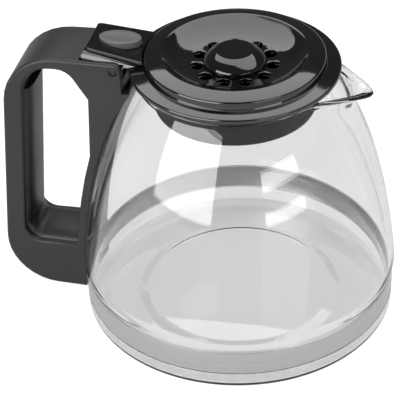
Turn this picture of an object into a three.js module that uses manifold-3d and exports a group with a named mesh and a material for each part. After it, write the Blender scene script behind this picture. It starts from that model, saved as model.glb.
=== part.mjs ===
// Glass coffee carafe with a strap-clamped handle and a hinged lid.
// Millimetres, +Z up, standing on z = 0. The spout points along +X and the handle along -X.
import * as THREE from "three";
import { mergeVertices } from "three/addons/utils/BufferGeometryUtils.js";
import Module from "manifold-3d";

// Clearances
const GAP = 0.3; // between pieces that touch or are pressed together
const SWING_GAP = 0.5; // between the lever's end and the pocket it swings in

// Glass body
const BODY_RADIUS = 75;
const BODY_WIDEST_Z = 24;
const SHOULDER_PULL_RADIUS = 68.5; // the point that the shoulder's curve bends towards
const SHOULDER_PULL_Z = 90.7;
const RIM_RADIUS = 44.6;
const RIM_Z = 124.8;
const RIM_BEAD = 2.8;
const WALL = 2.2;
const BASE_THICKNESS = 3;
const HEEL_INSET = 0.8; // how far the heel stands inside the widest radius
const HEEL_ROUND = 6;
const INNER_HEEL_ROUND = 8;
const PUNT_RADIUS = 49;
const PUNT_RISE = 1.6;

// Spout, drawn out of the rim
const SPOUT_REACH = 62.7;
const SPOUT_DIP = 6; // of the lip's underside
const SPOUT_ROOT_DEPTH = 25; // below the rim
const SPOUT_HALF_ANGLE = THREE.MathUtils.degToRad(37);
const SPOUT_TIP_SOFTNESS = 0.09;
const SPOUT_LIP_LIFT = 3.2; // how much higher the inside of the lip stays

// Strap round the base, and the screw that closes it
const STRAP_WIDTH = 11.6;
const STRAP_THICKNESS = 0.6;
const STRAP_MID_Z = 14.5;
const STRAP_GROOVE_DEPTH = 0.85;
const STRAP_GROOVE_MARGIN = 0.5;
const STRAP_TAB_SPACE = 3.2; // between the two tabs
const STRAP_TAB_MARGIN = 3.6; // beyond the middle of the screw
const CLAMP_SCREW_RADIUS = 1.9;
const CLAMP_SCREW_HEAD_RADIUS = 3.5;
const CLAMP_SCREW_HEAD = 2.6;
const CLAMP_SCREW_LENGTH = 9;
const CLAMP_NUT_WIDTH = 7;
const CLAMP_NUT_THICKNESS = 3.2;

// Handle
const HANDLE_HALF_WIDTH = 16.5;
const HANDLE_EDGE_ROUND = 1.4;
const HANDLE_NARROWING = 0.0016; // share of the width lost per mm away from the hinge
const HANDLE_LOWERING = 0.00014; // share of the height lost per mm away from the hinge
const GRIP_TOP_ROOM = 30.4; // from the widest glass to the grip's outer line, at the top of the handle
const GRIP_FOOT_ROOM = 40; // and where that line would meet the foot's level
const GRIP_DEPTH = 9.7;
const HANDLE_TOP_ROUND = 27;
const HANDLE_FOOT_ROUND = 24.5;
const HANDLE_FOOT_Z = 1.8;
const LOWER_ARM = 25.1;
const TOP_ARM = 5.6;
const SHELL_WALL = 2.5;
const LEG_WALL = 2.2;
const LEG_BEND_DEPTH = 45; // below the rim, where the leg's back turns to follow the glass
const LEG_LEAN = 1.4; // how much closer to the glass's axis the leg's back is at its top than at the bend
const OPENING_TOP_ROUND = 14;
const OPENING_FOOT_ROUND = 7.5;
const OPENING_HEAD_ROUND = 9;
const LINER_RECESS = 0.7; // of its edges behind the opening's edge
const LINER_CROWN = 3; // of its middle in front of the opening's edge
const LINER_CROWN_REACH = 8; // how far in from the edges the crown rises
const LINER_DEPTH = 5.2; // of its back behind the opening's edge
const FOOT_POCKET_LENGTH = 9;
const FOOT_POCKET_HALF_WIDTH = 9.5;
const FOOT_POCKET_HEADROOM = 1; // above the strap
const TOOL_HOLE_RADIUS = 4;
const LINER_SCREW_SET_BACK = 5; // behind the foot pocket's end wall
const LINER_SCREW_RADIUS = 1.4;
const LINER_SCREW_HEAD_RADIUS = 2.8;
const LINER_SCREW_HEAD = 1.8;
const LINER_SCREW_LENGTH = 14;
const LINER_BOSS_RADIUS = 3.6;
const LINER_SEAT_RISE = 4; // of the shell's boss that the liner's boss stands on

// Hinge at the head of the handle
const PIVOT_STAND_OFF = 5; // behind the flange's edge
const PIVOT_RISE = 3.2; // above the rim
const PIN_RADIUS = 1.7;
const EAR_RADIUS = 4;
const EAR_DEPTH = 11; // below the pivot, where the ears stand on the leg
const CHEEK_WALL = 2.4;
const HEAD_WALL = 3;
const HEAD_SLANT = THREE.MathUtils.degToRad(212); // direction in which the head's slanted wall faces
const POCKET_FRONT = 1.8; // in front of the pivot
const POCKET_FRONT_TOP = 4.6; // below the pivot

// Lid lever, its cap and the thumb pad
const LEVER_REACH = 16.1;
const LEVER_UNDERSIDE = 2.9; // above the pivot
const LEVER_SLOPE = 0.146;
const LEVER_EDGE_ROUND = 2.6;
const CAP_RISE = 7.1; // top of the cap over the pivot
const CAP_THICKNESS = 1.6;
const CAP_REACH = 13.8; // from the pivot outwards
const CAP_CORNER_ROUND = 2.6;
const CAP_OUTER_HALF_WIDTH = 11.4;
const CAP_INNER_HALF_WIDTH = 13.6;
const PAD_HALF_LENGTH = 9.9;
const PAD_HALF_WIDTH = 6;
const PAD_RISE = 2.3; // above the cap at the pivot
const LEVER_SCREW_RADIUS = 1.2;
const LEVER_SCREW_HEAD_RADIUS = 2;
const LEVER_SCREW_HEAD = 0.6;
const LEVER_SCREW_LENGTH = 3.6;
const LEVER_SCREW_OFFSET = 8; // to each side of the middle
const LEVER_SCREW_INSET = 4; // inside the flange's edge
const LEVER_SCREW_FLOOR = 0.5; // left under the screw's head

// Lid
const FLANGE_OVERHANG = 3.4; // beyond the rim
const FLANGE_EDGE = 4.3; // top of the edge above the lid's seat
const FLANGE_LIP = 2.4; // underside of the edge above the lid's seat
const SEAT_OVERHANG = 0.8; // of the flange's flat underside beyond the rim
const FLANGE_ROUND = 0.9;
const FLANGE_RISE = 1.3; // from the edge to the raised ring
const RING_INSET = 3.1; // of the raised ring inside the rim
const RING_DRAFT = 0.5; // how much narrower the raised ring is at its top
const RING_RISE = 8.9; // above the lid's seat
const RING_ROUND = 0.8;
const RING_LAND = 8.1; // from the ring's side to the dish's edge
const DISH_LIP = 1.4; // the dish's edge stands this much above the ring's edge
const DISH_FLOOR_RADIUS = 15;
const DISH_FLOOR_RISE = 4;
const LID_WALL = 2;
const DRIP_HOLES = 11;
const DRIP_HOLE_RADIUS = 3.1;
const DRIP_RING_RADIUS = 17.4;
const DRIP_RING_START = THREE.MathUtils.degToRad(3);
const BOSS_RADIUS = 7;
const BOSS_DEPTH = 7; // below the lid's seat

// Ribbed skirt under the lid
const SKIRT_CLEARANCE = 5.4; // inside the glass at the rim
const SKIRT_WALL = 1.5;
const SKIRT_DEPTH = 16.5; // below the lid's seat
const SKIRT_RIBS = 4;
const SKIRT_RIB_HEIGHT = 1.2;
const SKIRT_RIB_WIDTH = 2;
const SKIRT_COLLAR_RISE = 5;
const SKIRT_FLOOR = 1.5;
const OUTLET_RADIUS = 15;

// Height-adjusting knob in the dish
const KNOB_RADIUS = 14.3;
const KNOB_TOP_RADIUS = 8.8;
const KNOB_HEIGHT = 6.9;
const KNOB_BEVEL_RADIUS = 10.8;
const KNOB_BEVEL_DROP = 1.2;
const KNOB_SHOULDER = 2.8; // below the bevel, where the side's curve bends towards
const KNOB_SKIRT = 1.4;
const KNOB_WALL = 1.8;
const STEM_RADIUS = 4;
const STEM_GROOVE_RADIUS = 3;
const STEM_TAIL = 1.2; // below the clip's groove
const CLIP_RADIUS = 6;
const CLIP_THICKNESS = 1;
const CLIP_MOUTH = THREE.MathUtils.degToRad(45);
const KNOB_TRAVEL = 5;

// How finely round forms are cut
const GLASS_SEGMENTS = 60;
const LID_SEGMENTS = 40;
const SMALL_SEGMENTS = 20;
const SHOULDER_STEPS = 7;
const DISH_STEPS = 5;
const KNOB_STEPS = 4;
const LEG_STEPS = 4;
const EDGE_STEPS = 2;
const ARC_TOLERANCE = 0.12; // between an arc and its chords
const FAR = 60; // length of a cutting tool that has to pass right through

// Places worked out from those sizes
const neckZ = RIM_Z - RIM_BEAD;
const heelRadius = BODY_RADIUS - HEEL_INSET;
const grooveRadius = heelRadius - STRAP_GROOVE_DEPTH;
const strapInner = grooveRadius + GAP;
const strapOuter = strapInner + STRAP_THICKNESS;
const strapLow = STRAP_MID_Z - STRAP_WIDTH / 2;
const strapHigh = STRAP_MID_Z + STRAP_WIDTH / 2;
const flangeRadius = RIM_RADIUS + FLANGE_OVERHANG;
const ringRadius = RIM_RADIUS - RING_INSET;
const dishRadius = ringRadius - RING_LAND;
const skirtRadius = RIM_RADIUS - WALL - SKIRT_CLEARANCE;
const gripTopReach = BODY_RADIUS + GRIP_TOP_ROOM;
const gripFootReach = BODY_RADIUS + GRIP_FOOT_ROOM;
const pivotX = -(flangeRadius + PIVOT_STAND_OFF);
const pivotZ = RIM_Z + PIVOT_RISE;
const headTop = pivotZ + EAR_RADIUS;
const earFoot = pivotZ - EAR_DEPTH;
const openingTop = headTop - TOP_ARM;
const openingFoot = HANDLE_FOOT_Z + LOWER_ARM;
const pocketRadius = LEVER_REACH + SWING_GAP;
const pocketHalfWidth = HANDLE_HALF_WIDTH - CHEEK_WALL;
const leverHalfWidth = pocketHalfWidth - GAP;
const linerHalfWidth = HANDLE_HALF_WIDTH - SHELL_WALL - GAP;
const footPocketFront = BODY_RADIUS + GAP + LEG_WALL;
const footPocketBack = footPocketFront + FOOT_POCKET_LENGTH;
const footPocketRoof = strapHigh + FOOT_POCKET_HEADROOM;
const pocketDivider = -(footPocketBack + SHELL_WALL);
const overPocket = footPocketRoof + SHELL_WALL;
const linerTop = openingTop - OPENING_TOP_ROUND;
const clampScrewX = -(footPocketFront + CLAMP_NUT_WIDTH / 2 + 2 * GAP);
const tabFace = STRAP_TAB_SPACE / 2 + STRAP_THICKNESS;
const linerScrewX = pocketDivider - LINER_SCREW_SET_BACK;
const linerScrewSeat = HANDLE_FOOT_Z + SHELL_WALL;
const linerBossFoot = linerScrewSeat + LINER_SEAT_RISE + GAP;
const lidSeat = RIM_Z + GAP;
const flangeTop = lidSeat + FLANGE_EDGE;
const ringFoot = flangeTop + FLANGE_RISE;
const ringTop = lidSeat + RING_RISE;
const dishFloor = lidSeat + DISH_FLOOR_RISE;
const boreRadius = STEM_RADIUS + GAP;
const bossFoot = lidSeat - BOSS_DEPTH;
const clipTop = bossFoot - KNOB_TRAVEL - GAP;
const leverScrewX = -(flangeRadius - LEVER_SCREW_INSET);

// Booleans
const wasm = await Module();
wasm.setup();

function solid(geometry) {
  const bare = new THREE.BufferGeometry();
  bare.setAttribute("position", geometry.getAttribute("position"));
  bare.setIndex(geometry.index);
  const merged = mergeVertices(bare);
  const vertProperties = merged.getAttribute("position").array;
  const triVerts = new Uint32Array(merged.index.array);
  return new wasm.Manifold(new wasm.Mesh({ numProp: 3, vertProperties, triVerts }));
}

function geometryOf(body) {
  const { vertProperties, triVerts } = body.getMesh();
  const geometry = new THREE.BufferGeometry();
  geometry.setAttribute("position", new THREE.BufferAttribute(vertProperties, 3));
  geometry.setIndex(new THREE.BufferAttribute(triVerts, 1));
  geometry.computeVertexNormals();
  return geometry;
}

function cut(geometry, ...tools) {
  const rest = tools.reduce((body, tool) => body.subtract(solid(tool)), solid(geometry));
  return geometryOf(rest);
}

function join(...geometries) {
  const whole = geometries.map(solid).reduce((body, next) => body.add(next));
  return geometryOf(whole);
}

function overlap(geometry, other) {
  return geometryOf(solid(geometry).intersect(solid(other)));
}

// Shapes
// A closed [radius, z] outline turned about the Z axis.
function turned(outline, segments) {
  const points = outline.map(([radius, z]) => new THREE.Vector2(radius, z));
  if (THREE.ShapeUtils.area(points) < 0) points.reverse();
  if (points[0].x > 0) points.push(points[0].clone());
  return new THREE.LatheGeometry(points, segments).rotateX(Math.PI / 2);
}

// A side view in X and Z, given its width across Y, with its edges rounded over a reach along Y.
function across(shape, halfWidth, round = 0, reach = round) {
  const geometry = new THREE.ExtrudeGeometry(shape, {
    depth: 2 * (halfWidth - reach),
    bevelEnabled: round > 0,
    bevelThickness: reach,
    bevelSize: round,
    bevelOffset: -round,
    bevelSegments: EDGE_STEPS,
  });
  return geometry.rotateX(Math.PI / 2).translate(0, halfWidth - reach, 0);
}

// A plan in X and Y, raised from one height to another.
function upright(shape, low, high, curveSegments = SMALL_SEGMENTS) {
  const options = { depth: high - low, bevelEnabled: false, curveSegments };
  return new THREE.ExtrudeGeometry(shape, options).translate(0, 0, low);
}

// A round bar along Y, at x and z, between two values of y.
function barAcross(radius, x, z, from, to) {
  const bar = new THREE.CylinderGeometry(radius, radius, to - from, SMALL_SEGMENTS);
  return bar.translate(x, (from + to) / 2, z);
}

// A round bar along Z, at x and y, between two heights.
function barUp(radius, x, y, low, high) {
  const bar = new THREE.CylinderGeometry(radius, radius, high - low, SMALL_SEGMENTS);
  return bar.rotateX(Math.PI / 2).translate(x, y, (low + high) / 2);
}

function block(low, high) {
  const size = high.map((value, i) => value - low[i]);
  const middle = high.map((value, i) => (value + low[i]) / 2);
  return new THREE.BoxGeometry(...size).translate(...middle);
}

// A screw along +Z whose head starts at the origin, with a six-sided socket.
function screw(shankRadius, headRadius, head, length) {
  const outline = [
    [0, 0],
    [headRadius, 0],
    [headRadius, head],
    [shankRadius, head],
    [shankRadius, head + length],
    [0, head + length],
  ];
  const socket = new THREE.CylinderGeometry(headRadius / 2, headRadius / 2, head, 6).rotateX(Math.PI / 2);
  return cut(turned(outline, SMALL_SEGMENTS), socket);
}

// The points of an arc about a centre, from one angle to another.
function arc(x, y, radius, from, to) {
  const widest = 2 * Math.acos(1 - Math.min(1, ARC_TOLERANCE / radius));
  const steps = Math.max(2, Math.ceil(Math.abs(to - from) / widest));
  return Array.from({ length: steps + 1 }, (_, i) => {
    const angle = from + ((to - from) * i) / steps;
    return [x + radius * Math.cos(angle), y + radius * Math.sin(angle)];
  });
}

// The points of an outline of corners, each [x, y, radius], with the corners rounded.
function rounded(corners) {
  return corners.flatMap(([x, y, radius = 0], i) => {
    const corner = new THREE.Vector2(x, y);
    if (radius === 0) return [corner];
    const [beforeX, beforeY] = corners.at(i - 1);
    const [afterX, afterY] = corners[(i + 1) % corners.length];
    const back = new THREE.Vector2(beforeX, beforeY).sub(corner).normalize();
    const onward = new THREE.Vector2(afterX, afterY).sub(corner).normalize();
    const half = Math.acos(THREE.MathUtils.clamp(back.dot(onward), -1, 1)) / 2;
    const start = back.clone().multiplyScalar(radius / Math.tan(half)).add(corner);
    const bisector = back.clone().add(onward).normalize();
    const centre = bisector.multiplyScalar(radius / Math.sin(half)).add(corner);
    const sweep = (Math.PI - 2 * half) * Math.sign(onward.cross(back));
    const from = start.clone().sub(centre).angle();
    return arc(centre.x, centre.y, radius, from, from + sweep).map((point) => new THREE.Vector2(...point));
  });
}

const outlineOf = (corners) => new THREE.Shape(rounded(corners));

// Glass
const shoulder = new THREE.QuadraticBezierCurve(
  new THREE.Vector2(BODY_RADIUS, BODY_WIDEST_Z),
  new THREE.Vector2(SHOULDER_PULL_RADIUS, SHOULDER_PULL_Z),
  new THREE.Vector2(RIM_RADIUS, neckZ),
);

// The shoulder's [radius, z] points, moved square to the surface.
function shoulderPoints(offset) {
  return Array.from({ length: SHOULDER_STEPS + 1 }, (_, i) => {
    const point = shoulder.getPoint(i / SHOULDER_STEPS);
    const along = shoulder.getTangent(i / SHOULDER_STEPS);
    return [point.x + along.y * offset, point.y - along.x * offset];
  });
}

// The glass's outer radius at a height on the shoulder.
function glassRadius(z) {
  const { v0, v1, v2 } = shoulder;
  const a = v0.y - 2 * v1.y + v2.y;
  const b = 2 * (v1.y - v0.y);
  const t = (-b + Math.sqrt(b * b - 4 * a * (v0.y - z))) / (2 * a);
  return shoulder.getPoint(THREE.MathUtils.clamp(t, 0, 1)).x;
}

function glassOutline() {
  const grooveLow = strapLow - STRAP_GROOVE_MARGIN;
  const grooveHigh = strapHigh + STRAP_GROOVE_MARGIN;
  const innerRadius = grooveRadius - WALL;
  const floor = BASE_THICKNESS;
  const rimCentre = RIM_Z - WALL / 2;
  return [
    [0, PUNT_RISE],
    [PUNT_RADIUS - PUNT_RISE, PUNT_RISE],
    [PUNT_RADIUS, 0],
    ...arc(heelRadius - HEEL_ROUND, HEEL_ROUND, HEEL_ROUND, -Math.PI / 2, 0),
    [heelRadius, grooveLow],
    [grooveRadius, grooveLow],
    [grooveRadius, grooveHigh],
    [heelRadius, grooveHigh],
    ...shoulderPoints(0),
    ...arc(RIM_RADIUS - WALL / 2, rimCentre, WALL / 2, 0, Math.PI),
    [RIM_RADIUS - WALL, neckZ],
    ...shoulderPoints(-WALL).reverse(),
    [innerRadius, strapHigh],
    ...arc(innerRadius - INNER_HEEL_ROUND, floor + INNER_HEEL_ROUND, INNER_HEEL_ROUND, 0, -Math.PI / 2),
    [PUNT_RADIUS, floor],
    [PUNT_RADIUS - PUNT_RISE, floor + PUNT_RISE],
    [0, floor + PUNT_RISE],
  ];
}

// Draws the rim out into a spout: furthest at the middle, fading to each side and downwards.
function drawSpout(geometry) {
  const position = geometry.getAttribute("position");
  const root = RIM_Z - SPOUT_ROOT_DEPTH;
  const soften = (t) => Math.hypot(t, SPOUT_TIP_SOFTNESS) - SPOUT_TIP_SOFTNESS;
  for (let i = 0; i < position.count; i++) {
    const [x, y, z] = [position.getX(i), position.getY(i), position.getZ(i)];
    const radius = Math.hypot(x, y);
    const angle = Math.atan2(y, x);
    const aside = Math.min(1, Math.abs(angle) / SPOUT_HALF_ANGLE);
    const up = Math.max(0, (z - root) / SPOUT_ROOT_DEPTH);
    const pull = (1 - soften(aside) / soften(1)) ** 2 * up ** 3;
    const inward = THREE.MathUtils.clamp((RIM_RADIUS - radius) / WALL, 0, 1);
    const drawn = radius + pull * (SPOUT_REACH - (RIM_RADIUS - WALL / 2));
    const lowered = z - pull * (SPOUT_DIP - SPOUT_LIP_LIFT * inward);
    position.setXYZ(i, drawn * Math.cos(angle), drawn * Math.sin(angle), lowered);
  }
  geometry.computeVertexNormals();
  return geometry;
}

const glassJug = () => drawSpout(turned(glassOutline(), GLASS_SEGMENTS));

// Everything inside the glass's outer face, with a clearance: cuts the handle to the glass.
function glassRoom() {
  const wide = BODY_RADIUS + GAP;
  return turned(
    [
      [0, -FAR],
      [wide, -FAR],
      [wide, BODY_WIDEST_Z],
      ...shoulderPoints(GAP),
      [RIM_RADIUS + GAP, RIM_Z + FAR],
      [0, RIM_Z + FAR],
    ],
    GLASS_SEGMENTS,
  );
}

// Strap
function clampBand() {
  const inner = STRAP_TAB_SPACE / 2;
  const tabEnd = clampScrewX - STRAP_TAB_MARGIN;
  const gapInside = Math.asin(inner / strapInner);
  const gapOutside = Math.asin(tabFace / strapOuter);
  const ring = new THREE.Shape();
  ring.moveTo(tabEnd, inner);
  ring.lineTo(tabEnd, tabFace);
  ring.absarc(0, 0, strapOuter, Math.PI - gapOutside, -(Math.PI - gapOutside), true);
  ring.lineTo(tabEnd, -tabFace);
  ring.lineTo(tabEnd, -inner);
  ring.absarc(0, 0, strapInner, -(Math.PI - gapInside), Math.PI - gapInside, false);
  const strap = upright(ring, strapLow, strapHigh, GLASS_SEGMENTS / 2);
  const holes = barAcross(CLAMP_SCREW_RADIUS + GAP, clampScrewX, STRAP_MID_Z, -FAR, FAR);
  return cut(strap, holes);
}

const clampScrew = () =>
  screw(CLAMP_SCREW_RADIUS, CLAMP_SCREW_HEAD_RADIUS, CLAMP_SCREW_HEAD, CLAMP_SCREW_LENGTH);

function clampNut() {
  const half = CLAMP_NUT_WIDTH / 2;
  const low = [clampScrewX - half, -(tabFace + GAP + CLAMP_NUT_THICKNESS), STRAP_MID_Z - half];
  const high = [clampScrewX + half, -(tabFace + GAP), STRAP_MID_Z + half];
  const bore = barAcross(CLAMP_SCREW_RADIUS + GAP, clampScrewX, STRAP_MID_Z, -FAR, FAR);
  return cut(block(low, high), bore);
}

// Handle
// The x of a line that runs along the grip, a depth inside its outer face.
function gripX(z, depth) {
  const lean = (gripFootReach - gripTopReach) / (headTop - HANDLE_FOOT_Z);
  return -(gripTopReach + lean * (headTop - z)) + depth;
}

// What is left of a length at x, after the share of it lost per mm away from the hinge.
const shareAt = (x, lost) => 1 - lost * (pivotX - x);

// Narrows and lowers the handle, the further it stands from the hinge.
function drawnOut(geometry) {
  const position = geometry.getAttribute("position");
  for (let i = 0; i < position.count; i++) {
    const x = position.getX(i);
    const y = position.getY(i) * shareAt(x, HANDLE_NARROWING);
    position.setXYZ(i, x, y, position.getZ(i) * shareAt(x, HANDLE_LOWERING));
  }
  return geometry;
}

// The corners along the inside of the grip and the lower arm, a distance behind the opening's edge.
function gripCorners(behind, top, end) {
  const foot = openingFoot - behind;
  const depth = GRIP_DEPTH - behind;
  return [
    [gripX(top, depth), top],
    [gripX(foot, depth), foot, OPENING_FOOT_ROUND + behind],
    [end, foot],
  ];
}

// The point where the head's slanted wall has a given x or z.
function onSlant({ x, z }) {
  const distance = pocketRadius + HEAD_WALL;
  const [nx, nz] = [Math.cos(HEAD_SLANT), Math.sin(HEAD_SLANT)];
  if (x === undefined) return [pivotX + (distance - nz * (z - pivotZ)) / nx, z];
  return [x, pivotZ + (distance - nx * (x - pivotX)) / nz];
}

function openingOutline() {
  const legBack = (z) => -(glassRadius(z) + GAP + LEG_WALL);
  const bend = RIM_Z - LEG_BEND_DEPTH;
  const leg = Array.from({ length: LEG_STEPS + 1 }, (_, i) => {
    const z = bend + ((openingFoot - bend) * i) / LEG_STEPS;
    return [legBack(z), z];
  });
  const [gripTop, gripFoot] = gripCorners(0, openingTop, 0);
  const headCorner = onSlant({ z: openingTop });
  return outlineOf([
    [...gripTop, OPENING_TOP_ROUND],
    [...headCorner, OPENING_HEAD_ROUND],
    onSlant({ x: legBack(bend) + LEG_LEAN }),
    ...leg,
    gripFoot,
  ]);
}

function handleOutline() {
  const shape = outlineOf([
    [0, HANDLE_FOOT_Z],
    [0, earFoot],
    [pivotX + EAR_RADIUS, earFoot],
    [pivotX + EAR_RADIUS, headTop, EAR_RADIUS],
    [gripX(headTop, 0), headTop, HANDLE_TOP_ROUND],
    [gripX(HANDLE_FOOT_Z, 0), HANDLE_FOOT_Z, HANDLE_FOOT_ROUND],
  ]);
  shape.holes.push(openingOutline());
  return shape;
}

// The hollow that the liner closes: the grip, and the lower arm behind and over the foot pocket.
function gripHollow() {
  const top = linerTop + GAP;
  const foot = HANDLE_FOOT_Z + SHELL_WALL;
  const front = -footPocketFront;
  return outlineOf([
    ...gripCorners(-HANDLE_EDGE_ROUND, top, front),
    [front, overPocket],
    [pocketDivider, overPocket],
    [pocketDivider, foot],
    [gripX(foot, SHELL_WALL), foot, HANDLE_FOOT_ROUND - 2 * SHELL_WALL],
    [gripX(top, SHELL_WALL), top],
  ]);
}

// The room that the lever turns in, open upwards and towards the lid.
function hingePocket() {
  const front = pivotX + POCKET_FRONT;
  const lowest = -Math.acos(POCKET_FRONT / pocketRadius);
  const highest = Math.PI - Math.asin(EAR_RADIUS / pocketRadius);
  const sweep = arc(pivotX, pivotZ, pocketRadius, lowest, highest - 2 * Math.PI);
  const left = sweep.at(-1)[0];
  return outlineOf([
    [front, pivotZ - POCKET_FRONT_TOP],
    ...sweep,
    [left, headTop + FAR],
    [FAR, headTop + FAR],
    [FAR, pivotZ - POCKET_FRONT_TOP],
  ]);
}

function handleShell() {
  const outside = drawnOut(across(handleOutline(), HANDLE_HALF_WIDTH, HANDLE_EDGE_ROUND));
  const hollow = drawnOut(across(gripHollow(), HANDLE_HALF_WIDTH - SHELL_WALL));
  const pocket = across(hingePocket(), pocketHalfWidth);
  const pinHole = barAcross(PIN_RADIUS + GAP, pivotX, pivotZ, -FAR, FAR);
  const footPocket = block(
    [-footPocketBack, -FOOT_POCKET_HALF_WIDTH, -FAR],
    [-footPocketFront, FOOT_POCKET_HALF_WIDTH, footPocketRoof],
  );
  const tabSlot = block(
    [-footPocketBack, -(tabFace + GAP), -FAR],
    [0, tabFace + GAP, strapHigh + GAP],
  );
  const toolHole = barAcross(TOOL_HOLE_RADIUS, clampScrewX, STRAP_MID_Z, 0, FAR);
  const bare = cut(outside, glassRoom(), hollow, pocket, pinHole, footPocket, tabSlot, toolHole);
  const seatTop = linerScrewSeat + LINER_SEAT_RISE;
  const seat = barUp(LINER_BOSS_RADIUS + GAP, linerScrewX, 0, linerScrewSeat - SHELL_WALL / 2, seatTop);
  const screwHole = barUp(LINER_SCREW_RADIUS + GAP, linerScrewX, 0, -FAR, seatTop + SHELL_WALL);
  const headHole = barUp(LINER_SCREW_HEAD_RADIUS + GAP, linerScrewX, 0, -FAR, linerScrewSeat);
  return cut(join(bare, seat), screwHole, headHole);
}

// A bar with a crowned face, trimmed to the hollow's ends and to the roof of the foot pocket.
function handleLiner() {
  const drop = LINER_CROWN + LINER_RECESS;
  const crest = gripCorners(-LINER_CROWN, linerTop + drop, drop - footPocketFront);
  const back = gripCorners(LINER_DEPTH, linerTop + drop, drop - footPocketFront);
  const bar = across(outlineOf([...crest, ...back.reverse()]), linerHalfWidth, drop, LINER_CROWN_REACH);
  const ends = block([-gripFootReach, -FAR, 0], [-footPocketFront - GAP, FAR, linerTop]);
  const roof = block([pocketDivider - GAP, -FAR, 0], [0, FAR, overPocket + GAP]);
  const face = drawnOut(cut(overlap(bar, ends), roof));
  const bossTop = (openingFoot - LINER_DEPTH / 2) * shareAt(linerScrewX, HANDLE_LOWERING);
  const boss = barUp(LINER_BOSS_RADIUS, linerScrewX, 0, linerBossFoot, bossTop);
  const screwEnd = linerScrewSeat + LINER_SCREW_LENGTH + GAP;
  const bore = barUp(LINER_SCREW_RADIUS + GAP, linerScrewX, 0, -FAR, screwEnd);
  return cut(join(face, boss), bore);
}

const linerScrew = () =>
  screw(LINER_SCREW_RADIUS, LINER_SCREW_HEAD_RADIUS, LINER_SCREW_HEAD, LINER_SCREW_LENGTH);

const hingePin = () =>
  barAcross(PIN_RADIUS, pivotX, pivotZ, -(HANDLE_HALF_WIDTH - GAP), HANDLE_HALF_WIDTH - GAP);

// Lid lever
const capTop = (x) => pivotZ + CAP_RISE - LEVER_SLOPE * (x - pivotX);
const leverTop = (x) => capTop(x) - CAP_THICKNESS - GAP;

// Everything that the lever may fill: round about the pivot behind it, open in front.
function leverRoom() {
  const behind = arc(pivotX, pivotZ, LEVER_REACH, Math.PI / 2, (3 * Math.PI) / 2);
  const front = pivotX + FAR;
  return across(outlineOf([...behind, [front, pivotZ - LEVER_REACH], [front, pivotZ + LEVER_REACH]]), FAR);
}

// The lid's outside with a clearance: shapes what sits on its flange and against its ring.
function lidRoom() {
  return turned(
    [
      [0, lidSeat - FAR],
      [flangeRadius + GAP, lidSeat - FAR],
      [flangeRadius + GAP, flangeTop + GAP],
      [ringRadius + GAP, ringFoot + GAP],
      [ringRadius + GAP, ringTop + FAR],
      [0, ringTop + FAR],
    ],
    LID_SEGMENTS,
  );
}

// A strip of the side view between two sloping lines.
function slopingStrip(low, high) {
  const [from, to] = [pivotX - LEVER_REACH - GAP, pivotX + FAR];
  return across(outlineOf([[from, low(from)], [to, low(to)], [to, high(to)], [from, high(from)]]), FAR);
}

function lidLever() {
  const [from, to] = [pivotX - LEVER_REACH - GAP, -ringRadius / 2];
  const low = pivotZ - LEVER_REACH;
  const side = outlineOf([
    [from, low],
    [to, low],
    [to, leverTop(to)],
    [from, leverTop(from)],
  ]);
  const beam = overlap(across(side, leverHalfWidth, LEVER_EDGE_ROUND), leverRoom());
  const start = [from - GAP, -FAR, low - GAP];
  const belowLever = block(start, [-(flangeRadius + GAP), FAR, pivotZ + LEVER_UNDERSIDE]);
  const belowFlange = block(start, [to + GAP, FAR, flangeTop]);
  const barrel = barAcross(EAR_RADIUS - GAP, pivotX, pivotZ, -leverHalfWidth, leverHalfWidth);
  const pinBore = barAcross(PIN_RADIUS + GAP, pivotX, pivotZ, -FAR, FAR);
  const seat = leverScrewSeat();
  const screwHoles = [-1, 1].flatMap((sign) => [
    barUp(LEVER_SCREW_RADIUS + GAP, leverScrewX, sign * LEVER_SCREW_OFFSET, low, seat + GAP),
    barUp(LEVER_SCREW_HEAD_RADIUS + GAP, leverScrewX, sign * LEVER_SCREW_OFFSET, seat, pivotZ + FAR),
  ]);
  const bare = cut(beam, lidRoom(), belowLever, belowFlange);
  return cut(join(bare, barrel), pinBore, ...screwHoles);
}

// The lid's flange under a point at a distance from the axis.
function flangeZ(radius) {
  const share = (flangeRadius - radius) / (flangeRadius - ringRadius);
  return flangeTop + FLANGE_RISE * share;
}

// The height of the floor that the lever screws' heads stand on.
function leverScrewSeat() {
  const radius = Math.hypot(leverScrewX, LEVER_SCREW_OFFSET);
  return flangeZ(radius) + GAP + LEVER_SCREW_FLOOR;
}

const padOutline = (extra) =>
  new THREE.Shape().absellipse(
    pivotX,
    0,
    PAD_HALF_LENGTH + extra,
    PAD_HALF_WIDTH + extra,
    0,
    2 * Math.PI,
    false,
    0,
  );

function leverCap() {
  const plan = outlineOf([
    [pivotX - CAP_REACH, -CAP_OUTER_HALF_WIDTH, CAP_CORNER_ROUND],
    [-ringRadius, -CAP_INNER_HALF_WIDTH],
    [0, -CAP_INNER_HALF_WIDTH],
    [0, CAP_INNER_HALF_WIDTH],
    [-ringRadius, CAP_INNER_HALF_WIDTH],
    [pivotX - CAP_REACH, CAP_OUTER_HALF_WIDTH, CAP_CORNER_ROUND],
  ]);
  const [low, high] = [pivotZ - FAR, pivotZ + FAR];
  const strip = slopingStrip((x) => leverTop(x) + GAP, capTop);
  const plate = overlap(overlap(strip, upright(plan, low, high)), leverRoom());
  return cut(plate, lidRoom(), upright(padOutline(GAP), low, high));
}

function thumbButton() {
  const level = () => capTop(pivotX) + PAD_RISE;
  const above = slopingStrip((x) => leverTop(x) + GAP, level);
  return overlap(above, upright(padOutline(0), pivotZ - FAR, pivotZ + FAR));
}

const leverScrew = () =>
  screw(LEVER_SCREW_RADIUS, LEVER_SCREW_HEAD_RADIUS, LEVER_SCREW_HEAD, LEVER_SCREW_LENGTH);

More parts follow.
